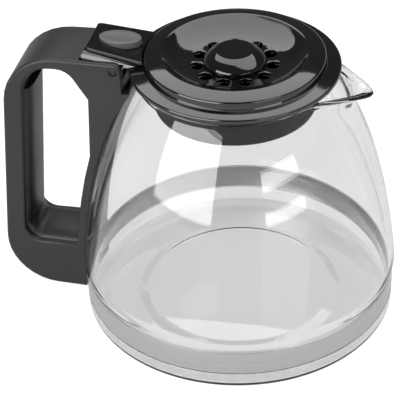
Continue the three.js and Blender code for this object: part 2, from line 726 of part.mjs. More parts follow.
// Lid
// The dish's [radius, z] points from its floor to its edge, lowered by a thickness.
function dishPoints(lowered) {
  const edge = ringTop + DISH_LIP;
  const bend = (DISH_FLOOR_RADIUS + 2 * dishRadius) / 3;
  const curve = new THREE.QuadraticBezierCurve(
    new THREE.Vector2(DISH_FLOOR_RADIUS, dishFloor - lowered),
    new THREE.Vector2(bend, dishFloor - lowered),
    new THREE.Vector2(dishRadius, edge - lowered),
  );
  return curve.getPoints(DISH_STEPS).map(({ x, y }) => [x, y]);
}

function lidCover() {
  const ringInside = ringRadius - LID_WALL;
  const ringEdge = ringRadius - RING_DRAFT;
  const outline = [
    [boreRadius, dishFloor],
    ...dishPoints(0),
    ...arc(ringEdge - RING_ROUND, ringTop - RING_ROUND, RING_ROUND, Math.PI / 2, 0),
    [ringRadius, ringFoot],
    ...arc(flangeRadius - FLANGE_ROUND, flangeTop - FLANGE_ROUND, FLANGE_ROUND, Math.PI / 2, 0),
    [flangeRadius, lidSeat + FLANGE_LIP],
    [RIM_RADIUS + SEAT_OVERHANG, lidSeat],
    [ringInside, lidSeat],
    [ringInside, ringFoot],
    [ringEdge - LID_WALL, ringTop - LID_WALL],
    ...dishPoints(LID_WALL).reverse(),
    [BOSS_RADIUS, dishFloor - LID_WALL],
    [BOSS_RADIUS, bossFoot],
    [boreRadius, bossFoot],
  ];
  const dripHoles = Array.from({ length: DRIP_HOLES }, (_, i) => {
    const angle = DRIP_RING_START + (2 * Math.PI * i) / DRIP_HOLES;
    const [x, y] = [DRIP_RING_RADIUS * Math.cos(angle), DRIP_RING_RADIUS * Math.sin(angle)];
    return barUp(DRIP_HOLE_RADIUS, x, y, dishFloor - 2 * LID_WALL, ringTop);
  });
  const screwHoles = [-1, 1].map((sign) => {
    const low = leverScrewSeat() - LEVER_SCREW_LENGTH - GAP;
    return barUp(LEVER_SCREW_RADIUS + GAP, leverScrewX, sign * LEVER_SCREW_OFFSET, low, ringTop);
  });
  return cut(turned(outline, LID_SEGMENTS), ...dripHoles, ...screwHoles);
}

// A ribbed ring with a floor that leads the coffee to a hole in its middle.
function lidSkirt() {
  const inner = skirtRadius - SKIRT_WALL;
  const collar = ringRadius - LID_WALL - GAP;
  const foot = lidSeat - SKIRT_DEPTH;
  const pitch = SKIRT_DEPTH / (SKIRT_RIBS + 1);
  const ribs = Array.from({ length: SKIRT_RIBS }, (_, i) => {
    const z = foot + pitch * (i + 1);
    const half = SKIRT_RIB_WIDTH / 2;
    return [
      [skirtRadius, z - half],
      [skirtRadius + SKIRT_RIB_HEIGHT, z],
      [skirtRadius, z + half],
    ];
  });
  const outline = [
    [inner, foot + SKIRT_FLOOR],
    [OUTLET_RADIUS, foot + SKIRT_FLOOR],
    [OUTLET_RADIUS, foot],
    [skirtRadius, foot],
    ...ribs.flat(),
    [skirtRadius, lidSeat],
    [collar, lidSeat],
    [collar, lidSeat + SKIRT_COLLAR_RISE],
    [inner, lidSeat + SKIRT_COLLAR_RISE],
  ];
  return turned(outline, LID_SEGMENTS);
}

// Knob
function dripKnob() {
  const foot = dishFloor + GAP;
  const top = dishFloor + KNOB_HEIGHT;
  const bevelZ = top - KNOB_BEVEL_DROP;
  const side = new THREE.QuadraticBezierCurve(
    new THREE.Vector2(KNOB_RADIUS, foot + KNOB_SKIRT),
    new THREE.Vector2(KNOB_RADIUS, bevelZ - KNOB_SHOULDER),
    new THREE.Vector2(KNOB_BEVEL_RADIUS, bevelZ),
  );
  const roof = top - KNOB_WALL;
  const socket = STEM_RADIUS + GAP;
  const outline = [
    [0, top],
    [KNOB_TOP_RADIUS, top],
    ...side.getPoints(KNOB_STEPS).reverse().map(({ x, y }) => [x, y]),
    [KNOB_RADIUS, foot],
    [KNOB_RADIUS - KNOB_WALL, foot],
    [KNOB_RADIUS - KNOB_WALL, foot + KNOB_SKIRT],
    [KNOB_TOP_RADIUS, roof - KNOB_BEVEL_DROP],
    [socket + KNOB_WALL, roof - KNOB_BEVEL_DROP],
    [socket + KNOB_WALL, foot],
    [socket, foot],
    [socket, roof],
    [0, roof],
  ];
  return turned(outline, LID_SEGMENTS);
}

function knobStem() {
  const top = dishFloor + KNOB_HEIGHT - KNOB_WALL - GAP;
  const grooveHigh = clipTop + GAP;
  const grooveLow = clipTop - CLIP_THICKNESS - GAP;
  const outline = [
    [0, grooveLow - STEM_TAIL],
    [STEM_RADIUS, grooveLow - STEM_TAIL],
    [STEM_RADIUS, grooveLow],
    [STEM_GROOVE_RADIUS, grooveLow],
    [STEM_GROOVE_RADIUS, grooveHigh],
    [STEM_RADIUS, grooveHigh],
    [STEM_RADIUS, top],
    [0, top],
  ];
  return turned(outline, SMALL_SEGMENTS);
}

// An open ring that snaps into the stem's groove.
function stemClip() {
  const inner = STEM_GROOVE_RADIUS + GAP;
  const ring = new THREE.Shape();
  ring.absarc(0, 0, CLIP_RADIUS, CLIP_MOUTH / 2, 2 * Math.PI - CLIP_MOUTH / 2, false);
  ring.absarc(0, 0, inner, 2 * Math.PI - CLIP_MOUTH / 2, CLIP_MOUTH / 2, true);
  return upright(ring, clipTop - CLIP_THICKNESS, clipTop);
}

// Finishes
const glass = new THREE.MeshStandardMaterial({
  color: 0xe4e8e8,
  roughness: 0.03,
  metalness: 0,
  transparent: true,
  opacity: 0.3,
});
const satinBlack = new THREE.MeshStandardMaterial({ color: 0x2c2c2d, roughness: 0.5, metalness: 0 });
const glossBlack = new THREE.MeshStandardMaterial({ color: 0x121213, roughness: 0.12, metalness: 0 });
const stainless = new THREE.MeshStandardMaterial({ color: 0xb4b5b5, roughness: 0.3, metalness: 1 });
const zincPlate = new THREE.MeshStandardMaterial({ color: 0x9c9d9e, roughness: 0.4, metalness: 1 });

// Assembly
function piece(parent, name, geometry, material) {
  const mesh = new THREE.Mesh(geometry, material.clone());
  mesh.name = name;
  parent.add(mesh);
  return mesh;
}

const jug = new THREE.Group();
piece(jug, "glass_jug", glassJug(), glass);
piece(jug, "clamp_band", clampBand(), stainless);
const clampScrewMesh = piece(jug, "clamp_screw", clampScrew(), zincPlate);
clampScrewMesh.rotation.x = Math.PI / 2;
clampScrewMesh.position.set(clampScrewX, tabFace + GAP + CLAMP_SCREW_HEAD, STRAP_MID_Z);
piece(jug, "clamp_nut", clampNut(), zincPlate);
piece(jug, "handle_shell", handleShell(), satinBlack);
piece(jug, "handle_liner", handleLiner(), satinBlack);
piece(jug, "liner_screw", linerScrew(), zincPlate).position.set(
  linerScrewX,
  0,
  linerScrewSeat - LINER_SCREW_HEAD - GAP,
);
piece(jug, "hinge_pin", hingePin(), satinBlack);

const lid = new THREE.Group();
jug.add(lid);
piece(lid, "lid_cover", lidCover(), glossBlack);
piece(lid, "lid_skirt", lidSkirt(), glossBlack);
piece(lid, "lid_lever", lidLever(), glossBlack);
piece(lid, "lever_cap", leverCap(), glossBlack);
piece(lid, "thumb_button", thumbButton(), satinBlack);
for (const [side, sign] of [["left", 1], ["right", -1]]) {
  const mesh = piece(lid, `lever_screw_${side}`, leverScrew(), zincPlate);
  mesh.rotation.x = Math.PI;
  mesh.position.set(leverScrewX, sign * LEVER_SCREW_OFFSET, leverScrewSeat() + LEVER_SCREW_HEAD + GAP);
}

const knob = new THREE.Group();
lid.add(knob);
piece(knob, "drip_knob", dripKnob(), glossBlack);
piece(knob, "knob_stem", knobStem(), satinBlack);
piece(knob, "stem_clip", stemClip(), stainless);

// The origin is under the middle of the whole, so the jug stands off it towards the spout.
const carafe = new THREE.Group();
carafe.add(jug);
const bounds = new THREE.Box3().setFromObject(jug);
jug.position.x = -(bounds.min.x + bounds.max.x) / 2;

export default carafe;
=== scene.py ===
# %% [markdown]
# A glass coffee carafe with a strap-clamped handle and a hinged lid.
# The solids of the part come in as a fixed frame, in metres, with +Z up and the spout along +X.
# Each visible piece is then modelled again with smooth surfaces, rides on the body of its solid,
# and takes that solid's place, so the lid still swings and the knob still turns.

# %% Load the frame
import math

import bmesh
import bpy
from mathutils import Matrix, Vector
from mathutils.geometry import interpolate_bezier


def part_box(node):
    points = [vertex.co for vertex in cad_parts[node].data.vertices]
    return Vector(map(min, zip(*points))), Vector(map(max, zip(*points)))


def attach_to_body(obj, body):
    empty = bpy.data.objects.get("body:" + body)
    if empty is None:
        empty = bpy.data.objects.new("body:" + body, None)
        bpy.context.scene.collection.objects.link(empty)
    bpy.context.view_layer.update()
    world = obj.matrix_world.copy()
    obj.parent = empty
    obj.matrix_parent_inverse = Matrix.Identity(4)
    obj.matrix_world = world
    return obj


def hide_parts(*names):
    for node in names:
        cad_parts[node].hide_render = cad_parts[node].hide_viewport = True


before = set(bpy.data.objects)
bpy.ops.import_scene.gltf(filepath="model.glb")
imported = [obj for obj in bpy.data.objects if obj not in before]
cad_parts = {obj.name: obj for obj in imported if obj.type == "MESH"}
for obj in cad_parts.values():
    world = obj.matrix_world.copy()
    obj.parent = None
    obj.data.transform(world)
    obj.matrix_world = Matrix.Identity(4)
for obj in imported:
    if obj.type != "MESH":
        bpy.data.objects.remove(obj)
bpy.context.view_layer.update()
MM = 0.001
skirt_low, skirt_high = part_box("lid_skirt")
AXIS_X = (skirt_low[0] + skirt_high[0]) / 2
AXIS = Vector((AXIS_X, 0, 0))
UP = Vector((0, 0, 1))
print("the jug's axis stands at x =", round(AXIS_X / MM, 2), "mm")

# %% [markdown]
# The camera comes first, because every later choice is judged through it.
# The photograph looks down at the jug from the front and a little from the right.
# Turning a camera about three plain axes is easier to read than a matrix of numbers:
# it stands upright, tips down, turns about the vertical and rolls slightly.

# %% Camera
IMAGE = 400
SENSOR = 36
FOCAL_PIXELS = 1737.9
AZIMUTH, ELEVATION, ROLL = 14.0, 35.89, -2.13
ORIGIN_IN_VIEW = Vector((19.66, -42.68, -857.8))

camera_data = bpy.data.cameras.new("camera")
camera_data.sensor_width = SENSOR
camera_data.lens = SENSOR * FOCAL_PIXELS / IMAGE
camera = bpy.data.objects.new("camera", camera_data)
bpy.context.collection.objects.link(camera)
turn = (
    Matrix.Rotation(math.radians(AZIMUTH), 4, "Z")
    @ Matrix.Rotation(math.radians(90 - ELEVATION), 4, "X")
    @ Matrix.Rotation(math.radians(ROLL), 4, "Z")
)
camera.matrix_world = Matrix.Translation(AXIS - turn @ (ORIGIN_IN_VIEW * MM)) @ turn
bpy.context.scene.camera = camera
bpy.context.scene.view_settings.view_transform = "Standard"
print("lens", round(camera_data.lens, 1), "mm")
print("camera at", [round(v, 3) for v in camera.matrix_world.translation])

# %% [markdown]
# A material is a small graph of nodes around one Principled shader.
# What is the same all over a surface is set on the shader itself, and what changes is linked to it.
# One helper turns a colour as seen on a screen, written in hex, into the linear values that
# the renderer counts in. One adds a node of any kind, with its settings and links.

# %% Helpers for materials
def linear(code):
    """An sRGB hex colour as linear red, green, blue and alpha."""
    parts = [int(code[i:i + 2], 16) / 255 for i in (1, 3, 5)]
    return [v / 12.92 if v <= 0.04045 else ((v + 0.055) / 1.055) ** 2.4 for v in parts] + [1]


def add(tree, kind, links=None, values=None, stops=(), **settings):
    """A node of a kind, with links from other nodes, socket values, colour stops and settings."""
    made = tree.nodes.new(kind)
    for name, value in settings.items():
        setattr(made, name, value)
    for number, (position, code) in enumerate(stops):
        made.color_ramp.elements[number].position = position
        made.color_ramp.elements[number].color = linear(code)
    for name, value in (values or {}).items():
        made.inputs[name].default_value = value
    for name, source in (links or {}).items():
        tree.links.new(source, made.inputs[name])
    return made


def shader_of(name, values):
    """A new material, its node tree and its Principled shader, with the values that don't change."""
    material = bpy.data.materials.new(name)
    material.use_nodes = True
    shader = material.node_tree.nodes["Principled BSDF"]
    for socket, value in values.items():
        shader.inputs[socket].default_value = value
    return material, material.node_tree, shader


def attach(tree, shader, sources):
    """Links what changes over the surface to the shader's sockets."""
    for socket, source in sources.items():
        tree.links.new(source, shader.inputs[socket])


# %% [markdown]
# Real surfaces vary at sizes that can be measured, so textures are given in millimetres.
# They read Object coordinates, which are metres on the piece itself, and stay put when it moves.
# Noise can then steer a number such as the roughness through a Map Range node, a colour through
# a Color Ramp, or the tilt of the surface through a Bump node, whose depth is in millimetres too.

# %% The scale of a texture
def per_mm(size):
    """The scale of a texture on Object coordinates whose features are this many mm apart."""
    return 1 / (size * MM)


# %% [markdown]
# The jug is blown borosilicate glass: clear, hard and very smooth, with an index of 1.47.
# Light crosses four faces on the way through the jug, and each face throws a little of it back.
# Blowing leaves the wall slightly uneven, which slow waves in a bump show.

# %% Borosilicate glass
WAVE, WAVE_DEPTH = 38, 0.6

glass, tree, shader = shader_of(
    "borosilicate_glass_blown",
    {"Base Color": linear("#fbfbfb"), "Transmission Weight": 1, "Roughness": 0, "IOR": 1.47},
)
place = add(tree, "ShaderNodeTexCoord").outputs["Object"]
waves = add(tree, "ShaderNodeTexNoise", {"Vector": place}, {"Scale": per_mm(WAVE), "Detail": 1})
uneven = add(
    tree, "ShaderNodeBump", {"Height": waves.outputs["Fac"]},
    {"Strength": 0.06, "Distance": WAVE_DEPTH * MM},
)
attach(tree, shader, {"Normal": uneven.outputs["Normal"]})
print(glass.name)

# %% [markdown]
# The lid is ABS moulded in a polished tool: nearly black, with mirror-like gloss.
# Handling leaves a thin haze on it, so the roughness wanders slightly over about two centimetres.
# The tool's polish is never perfect, which a very shallow ripple shows in long reflections.

# %% Polished black ABS
HAZE, RIPPLE, RIPPLE_DEPTH = 22, 5, 0.1

gloss, tree, shader = shader_of("abs_polished_black", {"Base Color": linear("#0d0d0e"), "IOR": 1.7})
place = add(tree, "ShaderNodeTexCoord").outputs["Object"]
haze = add(tree, "ShaderNodeTexNoise", {"Vector": place}, {"Scale": per_mm(HAZE), "Detail": 3})
hazy = add(
    tree, "ShaderNodeMapRange", {"Value": haze.outputs["Fac"]},
    {"From Min": 0.3, "From Max": 0.7, "To Min": 0.04, "To Max": 0.09},
)
ripple = add(tree, "ShaderNodeTexNoise", {"Vector": place}, {"Scale": per_mm(RIPPLE), "Detail": 1})
rippled = add(
    tree, "ShaderNodeBump", {"Height": ripple.outputs["Fac"]},
    {"Strength": 0.05, "Distance": RIPPLE_DEPTH * MM},
)
attach(tree, shader, {"Roughness": hazy.outputs["Result"], "Normal": rippled.outputs["Normal"]})
print(gloss.name)

# %% [markdown]
# The handle is polypropylene moulded in a spark-eroded tool: black, with a fine even grain
# that breaks reflections up into a satin sheen. The real grain is about 0.2 mm. It is drawn
# at 0.5 mm here, because finer grain vanishes at this picture size. Palms polish it unevenly.

# %% Satin black polypropylene
WORN, GRAIN, GRAIN_DEPTH = 28, 0.5, 0.05

satin, tree, shader = shader_of("polypropylene_satin_black", {"IOR": 1.49})
place = add(tree, "ShaderNodeTexCoord").outputs["Object"]
worn = add(tree, "ShaderNodeTexNoise", {"Vector": place}, {"Scale": per_mm(WORN), "Detail": 4})
tint = add(
    tree, "ShaderNodeValToRGB", {"Fac": worn.outputs["Fac"]},
    stops=((0.3, "#191919"), (0.7, "#202021")),
)
polish = add(
    tree, "ShaderNodeMapRange", {"Value": worn.outputs["Fac"]},
    {"From Min": 0.3, "From Max": 0.7, "To Min": 0.4, "To Max": 0.5},
)
grain = add(tree, "ShaderNodeTexNoise", {"Vector": place}, {"Scale": per_mm(GRAIN), "Detail": 2})
grained = add(
    tree, "ShaderNodeBump", {"Height": grain.outputs["Fac"]},
    {"Strength": 0.12, "Distance": GRAIN_DEPTH * MM},
)
attach(tree, shader, {
    "Base Color": tint.outputs["Color"],
    "Roughness": polish.outputs["Result"],
    "Normal": grained.outputs["Normal"],
})
print(satin.name)

# %% [markdown]
# The thumb pad is ABS from an etched tool, so that a thumb doesn't slip on it.
# The pits scatter light, and the pad looks grey beside the polished lid.

# %% Etched black ABS
PIT, PIT_DEPTH = 0.6, 0.05

etched, tree, shader = shader_of("abs_etched_black", {"Base Color": linear("#4c4c4d"), "IOR": 1.6})
place = add(tree, "ShaderNodeTexCoord").outputs["Object"]
pits = add(tree, "ShaderNodeTexNoise", {"Vector": place}, {"Scale": per_mm(PIT), "Detail": 2})
dull = add(
    tree, "ShaderNodeMapRange", {"Value": pits.outputs["Fac"]}, {"To Min": 0.34, "To Max": 0.46},
)
pitted = add(
    tree, "ShaderNodeBump", {"Height": pits.outputs["Fac"]},
    {"Strength": 0.1, "Distance": PIT_DEPTH * MM},
)
attach(tree, shader, {"Roughness": dull.outputs["Result"], "Normal": pitted.outputs["Normal"]})
print(etched.name)

# %% [markdown]
# The skirt under the lid is polypropylene, which stands hot coffee. It is smooth, but it reflects
# less than the lid does, and coffee leaves a faint uneven film on it.

# %% Plain black polypropylene
FILM = 14

plain, tree, shader = shader_of(
    "polypropylene_plain_black",
    {"Base Color": linear("#070708"), "IOR": 1.45, "Specular IOR Level": 0.12},
)
place = add(tree, "ShaderNodeTexCoord").outputs["Object"]
film = add(tree, "ShaderNodeTexNoise", {"Vector": place}, {"Scale": per_mm(FILM), "Detail": 3})
dull = add(
    tree, "ShaderNodeMapRange", {"Value": film.outputs["Fac"]}, {"To Min": 0.04, "To Max": 0.1},
)
attach(tree, shader, {"Roughness": dull.outputs["Result"]})
print(plain.name)

# %% [markdown]
# The strap is stainless strip, ground along its length while it was still flat.
# The scratches therefore run round the jug, and only the height changes their brightness.
# The noise is stretched by reading the sideways coordinates 400 times slower than the height.

# %% Ground stainless strip
SCRATCH, SCRATCH_DEPTH, STRETCH = 0.35, 0.03, 400

strip, tree, shader = shader_of("stainless_strip_ground", {"Metallic": 1})
place = add(tree, "ShaderNodeTexCoord").outputs["Object"]
sideways = per_mm(SCRATCH * STRETCH)
along = add(
    tree, "ShaderNodeMapping", {"Vector": place},
    {"Scale": (sideways, sideways, per_mm(SCRATCH))},
)
scratches = add(
    tree, "ShaderNodeTexNoise", {"Vector": along.outputs["Vector"]}, {"Scale": 1, "Detail": 3},
)
lines = scratches.outputs["Fac"]
tint = add(
    tree, "ShaderNodeValToRGB", {"Fac": lines}, stops=((0.25, "#b6b7b7"), (0.75, "#c6c7c7")),
)
shine = add(tree, "ShaderNodeMapRange", {"Value": lines}, {"To Min": 0.24, "To Max": 0.42})
scored = add(
    tree, "ShaderNodeBump", {"Height": lines}, {"Strength": 0.08, "Distance": SCRATCH_DEPTH * MM},
)
attach(tree, shader, {
    "Base Color": tint.outputs["Color"],
    "Roughness": shine.outputs["Result"],
    "Normal": scored.outputs["Normal"],
})
print(strip.name)

# %% [markdown]
# Screws and nut are steel with a thin coat of zinc.
# The plating gives a bluish grey that clouds over in patches of a millimetre or two.

# %% Zinc-plated steel
CLOUD = 1.6

zinc, tree, shader = shader_of("steel_zinc_plated", {"Metallic": 1})
place = add(tree, "ShaderNodeTexCoord").outputs["Object"]
cloud = add(tree, "ShaderNodeTexNoise", {"Vector": place}, {"Scale": per_mm(CLOUD), "Detail": 3})
tint = add(
    tree, "ShaderNodeValToRGB", {"Fac": cloud.outputs["Fac"]},
    stops=((0.35, "#8f9294"), (0.65, "#b3b6b7")),
)
dull = add(
    tree, "ShaderNodeMapRange", {"Value": cloud.outputs["Fac"]}, {"To Min": 0.3, "To Max": 0.5},
)
attach(tree, shader, {"Base Color": tint.outputs["Color"], "Roughness": dull.outputs["Result"]})
print(zinc.name)

# %% [markdown]
# Most of the carafe is round, so most pieces are a profile spun about the jug's axis.
# A profile is a wire of a few corners in millimetres, as radius and height.
# A vertex bevel rounds its corners before the spin, which is much quicker than bevelling
# whole rings of edges afterwards and leaves an even mesh.

# %% Helpers for round pieces
MERGE = 0.002


def round_off(bm, geom, size, segments, affect="EDGES"):
    """Rounds edges or corners over by size mm."""
    bmesh.ops.bevel(
        bm, geom=geom, offset=size * MM, offset_type="OFFSET", segments=segments,
        profile=0.5, affect=affect, material=-1,
    )


def profile(bm, corners, closed=False):
    """A wire through corners of (radius, height) or (radius, height, rounding), in mm."""
    verts = [bm.verts.new((AXIS_X + corner[0] * MM, 0, corner[1] * MM)) for corner in corners]
    for first, second in zip(verts, verts[1:]):
        bm.edges.new((first, second))
    if closed:
        bm.edges.new((verts[-1], verts[0]))
    for vert, corner in zip(verts, corners):
        if len(corner) == 3:
            round_off(bm, [vert], corner[2], segments=6, affect="VERTICES")


def bezier(start, pull, end, count):
    """The points of a curve from start to end, drawn towards pull, as (radius, height) in mm."""
    first, middle, last = (Vector(point) for point in (start, pull, end))
    points = interpolate_bezier(first, first.lerp(middle, 2 / 3), last.lerp(middle, 2 / 3), last, count)
    return [(point.x, point.y) for point in points]


def spin_round(bm, steps):
    """Spins everything in the mesh once round the jug's axis and closes the seam and the poles."""
    bmesh.ops.spin(
        bm, geom=bm.verts[:] + bm.edges[:], cent=AXIS, axis=UP, angle=math.tau, steps=steps,
        use_merge=True,
    )
    bmesh.ops.remove_doubles(bm, verts=bm.verts, dist=MERGE * MM)
    bmesh.ops.recalc_face_normals(bm, faces=bm.faces)


# %% [markdown]
# Every mesh becomes a piece in the same way. It is shaded smoothly except where its faces
# meet at more than the crease angle. Then it rides on a body, replaces a solid and takes a slot.

# %% From mesh to piece
def piece(name, bm, material, body, node, crease=35):
    """Turns a mesh into an object that rides on a body and takes a solid's place."""
    mesh = bpy.data.meshes.new(name)
    bm.to_mesh(mesh)
    bm.free()
    mesh.materials.append(material)
    mesh.shade_smooth()
    mesh.set_sharp_from_angle(angle=math.radians(crease))
    made = bpy.data.objects.new(name, mesh)
    bpy.context.collection.objects.link(made)
    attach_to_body(made, body)
    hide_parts(node)
    print(name, len(mesh.polygons), "faces on", body)
    return made


# %% [markdown]
# The jug is one skin of glass with an outside and an inside, so its profile goes up the outside
# from the middle of the base, over the rim and back down the inside to the middle of the floor.
# The shallow groove near the foot holds the strap. The shoulder is one curve, and the inside
# follows it one wall further in. Glass is blown into a mould, so the inside follows the groove
# and the foot as well, where the glass is stretched thinnest.

# %% Glass jug, before its spout
RIM_RADIUS, RIM_Z, RIM_ROUND, WALL = 44.6, 124.8, 1.0, 2.2
NECK_HEIGHT = 2.8
GROOVE_RADIUS, GROOVE_LOW, GROOVE_HIGH, GROOVE_ROUND = 73.35, 8.2, 20.8, 0.3
INNER_TOP_DROP, INNER_FOOT_RISE, HEEL_TOP_DROP = 0.5, 0.8, 0.2
HEEL_RADIUS, HEEL_ROUND, HEEL_WALL, FLOOR_WALL = 74.2, 2.6, 1.8, 1.6
PUNT_RADIUS, PUNT_EDGE, PUNT_Z, PUNT_ROUND = 44.5, 49, 1.6, 0.35
SHOULDER_FOOT, SHOULDER_PULL = (75, 24), (68.5, 90.7)
INNER_FOOT, INNER_PULL = (72.8, 23.8), (66.4, 89.9)
SHOULDER_POINTS, JUG_STEPS = 34, 180

neck_z = RIM_Z - NECK_HEIGHT
inner_heel = HEEL_RADIUS - HEEL_WALL
inner_groove = GROOVE_RADIUS - WALL
base = [
    (0, PUNT_Z),
    (PUNT_RADIUS, PUNT_Z, PUNT_ROUND),
    (PUNT_EDGE, 0, PUNT_ROUND),
    (HEEL_RADIUS, 0, HEEL_ROUND),
]
groove = [
    (HEEL_RADIUS, GROOVE_LOW, GROOVE_ROUND),
    (GROOVE_RADIUS, GROOVE_LOW, GROOVE_ROUND),
    (GROOVE_RADIUS, GROOVE_HIGH, GROOVE_ROUND),
    (HEEL_RADIUS, GROOVE_HIGH, GROOVE_ROUND),
]
outside = bezier(SHOULDER_FOOT, SHOULDER_PULL, (RIM_RADIUS, neck_z), SHOULDER_POINTS)
rim = [(RIM_RADIUS, RIM_Z, RIM_ROUND), (RIM_RADIUS - WALL, RIM_Z, RIM_ROUND)]
inside = bezier(INNER_FOOT, INNER_PULL, (RIM_RADIUS - WALL, neck_z), SHOULDER_POINTS)
behind_groove = [
    (inner_groove, GROOVE_HIGH - INNER_TOP_DROP),
    (inner_groove, GROOVE_LOW + INNER_FOOT_RISE, GROOVE_ROUND),
]
inner_floor = [
    (inner_heel, GROOVE_LOW - HEEL_TOP_DROP, GROOVE_ROUND),
    (inner_heel, FLOOR_WALL, HEEL_ROUND - HEEL_WALL),
    (PUNT_EDGE, FLOOR_WALL, PUNT_ROUND),
    (PUNT_RADIUS, PUNT_Z + FLOOR_WALL, PUNT_ROUND),
    (0, PUNT_Z + FLOOR_WALL),
]
bm = bmesh.new()
profile(bm, base + groove + outside + rim + inside[::-1] + behind_groove + inner_floor)
spin_round(bm, JUG_STEPS)
print("glass before the spout:", len(bm.verts), "vertices")

# %% [markdown]
# The glassmaker heats the rim and draws one side of it out into a spout.
# Moving the vertices does the same: each goes outwards and a little down, most at the middle
# of the spout and at the rim, less to both sides and below. The inner edge of the lip stays
# higher than the outer one, which gives the thin lip that pours cleanly.

# %% Spout
SPOUT_REACH, SPOUT_DIP, LIP_LIFT, ROOT_DEPTH = 62.7, 6, 3.2, 25
HALF_ANGLE, TIP_SOFTNESS = math.radians(37), 0.09


def soft(share):
    """A share of the half angle, without a point at the middle."""
    return math.hypot(share, TIP_SOFTNESS) - TIP_SOFTNESS


drawn = 0
for vert in bm.verts:
    arm = vert.co - AXIS
    radius, angle = math.hypot(arm.x, arm.y) / MM, math.atan2(arm.y, arm.x)
    up = max(0, (vert.co.z / MM - RIM_Z + ROOT_DEPTH) / ROOT_DEPTH)
    pull = (1 - soft(min(1, abs(angle) / HALF_ANGLE)) / soft(1)) ** 2 * up ** 3
    inward = min(1, max(0, (RIM_RADIUS - radius) / WALL))
    out = (radius + pull * (SPOUT_REACH - RIM_RADIUS + WALL / 2)) * MM
    drop = pull * (SPOUT_DIP - LIP_LIFT * inward) * MM
    vert.co = AXIS + Vector((out * math.cos(angle), out * math.sin(angle), vert.co.z - drop))
    drawn += pull > 0.01
print("vertices drawn into the spout:", drawn)
piece("glass_jug_blown", bm, glass, "jug", "glass_jug")

# %% [markdown]
# Straight-sided moulded pieces, such as the handle, the lever and the strap, have their final
# shape in the solid already. A copy of it is merged into one skin and its flat areas are joined up.
# A narrow bevel then breaks the edges, as every moulded or rolled edge is, and weighted normals
# keep the flat areas flat while the rounded edges shade smoothly.

# %% Copies of solids with softened edges
SHARP, FLAT = 50, 1


def softened(name, node, material, body, edge):
    """A copy of a solid as one smooth skin, with its sharp edges rounded over by edge mm."""
    bm = bmesh.new()
    bm.from_mesh(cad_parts[node].data)
    bmesh.ops.remove_doubles(bm, verts=bm.verts, dist=MERGE * MM)
    bmesh.ops.dissolve_limit(bm, angle_limit=math.radians(FLAT), verts=bm.verts, edges=bm.edges)
    made = piece(name, bm, material, body, node, SHARP)
    rolled = made.modifiers.new("rolled edges", "BEVEL")
    rolled.width = edge * MM
    rolled.segments = 2
    rolled.limit_method = "ANGLE"
    rolled.angle_limit = math.radians(SHARP)
    even = made.modifiers.new("even shading", "WEIGHTED_NORMAL")
    even.keep_sharp = True


softened("clamp_band_ground", "clamp_band", strip, "jug", edge=0.12)
softened("handle_shell_moulded", "handle_shell", satin, "jug", edge=0.3)
softened("handle_liner_moulded", "handle_liner", satin, "jug", edge=0.3)
softened("lid_lever_moulded", "lid_lever", gloss, "lid", edge=0.25)
softened("lever_cap_moulded", "lever_cap", gloss, "lid", edge=0.25)

# %% [markdown]
# The lid's upper face is a dish that catches the dripping coffee and leads it to a ring of holes.
# Its height depends only on the radius: flat in the middle, then curving up to the edge.
# One short function gives that height, and everything in the dish takes its place from it.

# %% The dish's height
SEAT_Z, LID_WALL = 125.1, 2
FLOOR_Z, FLOOR_RADIUS, BEND_RADIUS = 129.1, 15, 27.27
DISH_RADIUS, DISH_Z = 33.4, 135.4


def dish_height(radius):
    """The height of the dish's face at a radius, both in mm."""
    if radius <= FLOOR_RADIUS:
        return FLOOR_Z
    curve = FLOOR_RADIUS - 2 * BEND_RADIUS + DISH_RADIUS
    slope = 2 * (BEND_RADIUS - FLOOR_RADIUS)
    share = (-slope + math.sqrt(slope ** 2 - 4 * curve * (FLOOR_RADIUS - radius))) / (2 * curve)
    return FLOOR_Z + (DISH_Z - FLOOR_Z) * share ** 2


print("dish:", [round(dish_height(r), 2) for r in (FLOOR_RADIUS, 20, 25, 30, DISH_RADIUS)])

# %% [markdown]
# Cutting eleven round holes through a spun dish would need a boolean, which leaves ragged facets.
# Instead one slice of the dish, an eleventh of the ring, is bridged from its border to a circle.
# Every vertex of the flat slice is then lifted to the dish's height.

# %% The face of one slice, with its drip hole
HOLES, HOLE_RADIUS, HOLE_RING, FIRST_HOLE = 11, 3.1, 17.4, math.radians(3)
SLICE, SLICE_STEPS = math.tau / HOLES, 12
SLICE_INNER, SLICE_OUTER = 12, 23


def verts_of(items):
    """The vertices among the items that an operator gives back."""
    return [item for item in items if isinstance(item, bmesh.types.BMVert)]


bm = bmesh.new()
ends = []
for radius in (SLICE_INNER, SLICE_OUTER):
    start = bm.verts.new((AXIS_X + radius * MM, 0, 0))
    arc = bmesh.ops.spin(bm, geom=[start], cent=AXIS, axis=UP, angle=SLICE, steps=SLICE_STEPS)
    ends.append((start, verts_of(arc["geom_last"])[0]))
sides = [bm.edges.new((ends[0][i], ends[1][i])) for i in (0, 1)]
bmesh.ops.subdivide_edges(bm, edges=sides, cuts=3)
middle = (
    Matrix.Translation(AXIS)
    @ Matrix.Rotation(SLICE / 2, 4, "Z")
    @ Matrix.Translation((HOLE_RING * MM, 0, 0))
)
bmesh.ops.create_circle(bm, segments=len(bm.verts), radius=HOLE_RADIUS * MM, matrix=middle)
bmesh.ops.bridge_loops(bm, edges=bm.edges[:])
bridges = [e for e in bm.edges if len(e.link_faces) == 2]
bmesh.ops.subdivide_edges(bm, edges=bridges, cuts=1, use_grid_fill=True)
for vert in bm.verts:
    vert.co.z = dish_height((vert.co - AXIS).length / MM) * MM
print("one slice:", len(bm.faces), "faces")

# %% [markdown]
# The slice is doubled one wall further down, and the two circles are bridged into the hole's wall.
# Spinning it in copies then makes the whole ring.

# %% The ring of drip holes
NEAR = 0.01

